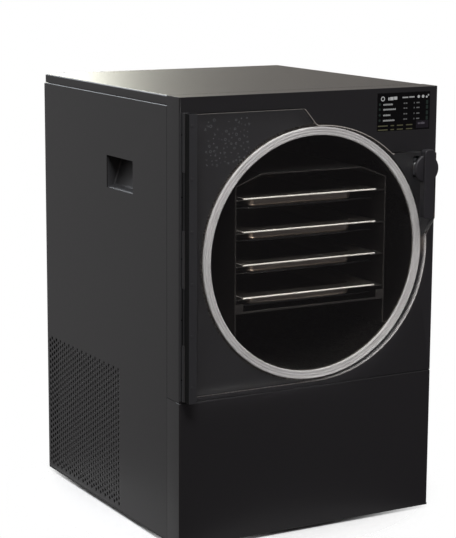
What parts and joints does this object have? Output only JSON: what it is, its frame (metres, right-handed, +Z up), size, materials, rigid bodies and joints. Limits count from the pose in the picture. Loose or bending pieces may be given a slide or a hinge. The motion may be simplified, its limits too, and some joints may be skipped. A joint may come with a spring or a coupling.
{
  "type": "freeze dryer",
  "caption": "Upright cabinet with a round vacuum chamber behind a clear hinged door, trays on heated shelves, display, latch lever, refrigeration set, drain valve and vacuum port.",
  "frame": {"origin": "on the floor, in the middle of the overall width and of the overall depth from the latch lever to the drain spigot", "axes": "+Z up, +Y from the door into the cabinet, +X to the right of someone facing the door"},
  "size_m": [0.457, 0.589, 0.689],
  "materials": {
    "powder_coated_steel": "fine satin powder coat",
    "base_steel": "satin paint",
    "foot_rubber": "matte",
    "moulded_abs": "fine grain",
    "filter_foam": "open foam",
    "chamber_steel": "mill finish",
    "seal_silicone": "smooth",
    "insulating_foam": "closed cell foam",
    "copper_tube": "drawn copper",
    "rack_steel": "black",
    "heater_plate": "black anodised",
    "tray_steel": "polished rim",
    "door_acrylic": "polished clear sheet",
    "hinge_steel": "satin powder coat",
    "black_screw": "black oxide",
    "pin_steel": "ground",
    "handle_nylon": "fine grain",
    "bush_nylon": "smooth",
    "latch_steel": "polished",
    "display_glass": "gloss black with a lit picture",
    "circuit_board": "lacquered",
    "compressor_paint": "semi-gloss",
    "aluminium_fins": "mill finish",
    "galvanised_steel": "spangled zinc",
    "fan_plastic": "moulded",
    "socket_plastic": "moulded",
    "stainless_fitting": "turned",
    "valve_brass": "turned, nickel plated",
    "lever_vinyl": "dipped vinyl"
  },
  "bodies": {
    "cabinet": {"base_pan": "base_steel", "chamber_cradle": "galvanised_steel", "chamber_drum": "chamber_steel", "compressor": "compressor_paint", "compressor_grommets": "foot_rubber", "condenser_coil": "aluminium_fins", "control_board": "circuit_board", "discharge_line": "copper_tube", "display_board": "circuit_board", "display_glass": "display_glass", "door_seal": "seal_silicone", "drain_pipe": "copper_tube", "drain_valve_body": "valve_brass", "drum_insulation": "insulating_foam", "evaporator_coil": "copper_tube", "fan_motor": "compressor_paint", "fan_shroud": "galvanised_steel", "feedthrough": "stainless_fitting", "feet": "foot_rubber", "front_fascia": "powder_coated_steel", "heater_shelf_1": "heater_plate", "heater_shelf_2": "heater_plate", "heater_shelf_3": "heater_plate", "heater_shelf_4": "heater_plate", "hinge_frame_leaf": "hinge_steel", "hinge_pin": "pin_steel", "hinge_screws": "black_screw", "latch_strike": "black_screw", "left_filter_pad": "filter_foam", "left_grip_cup": "moulded_abs", "left_side_panel": "powder_coated_steel", "liquid_line": "copper_tube", "lower_front_panel": "powder_coated_steel", "panel_screws": "black_screw", "power_inlet": "socket_plastic", "power_supply": "galvanised_steel", "pump_outlet": "socket_plastic", "rack_frame": "rack_steel", "rear_panel": "powder_coated_steel", "right_grip_cup": "moulded_abs", "right_side_panel": "powder_coated_steel", "suction_line": "copper_tube", "switch_body": "socket_plastic", "top_cover": "powder_coated_steel", "tray_1": "tray_steel", "tray_2": "tray_steel", "tray_3": "tray_steel", "tray_4": "tray_steel", "vacuum_port": "stainless_fitting"},
    "door": {"door_panel": "door_acrylic", "hinge_door_leaf": "hinge_steel", "hinge_clamp_screws": "black_screw", "latch_bush": "bush_nylon"},
    "latch": {"latch_handle": "handle_nylon", "latch_shaft": "latch_steel", "latch_cam": "latch_steel"},
    "fan": {"fan_blades": "fan_plastic", "fan_shaft": "pin_steel"},
    "rocker": {"switch_rocker": "socket_plastic"},
    "drain_lever": {"drain_valve_handle": "lever_vinyl"}
  },
  "joints": [
    {"name": "door_hinge", "type": "hinge", "parent": "cabinet", "child": "door", "pos_m": [-0.223, -0.25905, 0.452], "axis": [0, 0, -1], "range_deg": [0, 110]},
    {"name": "latch_turn", "type": "hinge", "parent": "door", "child": "latch", "pos_m": [0.1855, -0.25555, 0.565], "axis": [0, 1, 0], "range_deg": [0, 90]},
    {"name": "fan_spin", "type": "hinge", "parent": "cabinet", "child": "fan", "pos_m": [-0.1943, 0.07745, 0.118], "axis": [1, 0, 0], "continuous": true},
    {"name": "power_rocker", "type": "hinge", "parent": "cabinet", "child": "rocker", "pos_m": [0.195, 0.23045, 0.076], "axis": [1, 0, 0], "range_deg": [0, 16]},
    {"name": "drain_valve_turn", "type": "hinge", "parent": "cabinet", "child": "drain_lever", "pos_m": [-0.04, 0.25645, 0.156], "axis": [0, 0, 1], "range_deg": [0, 90]}
  ]
}
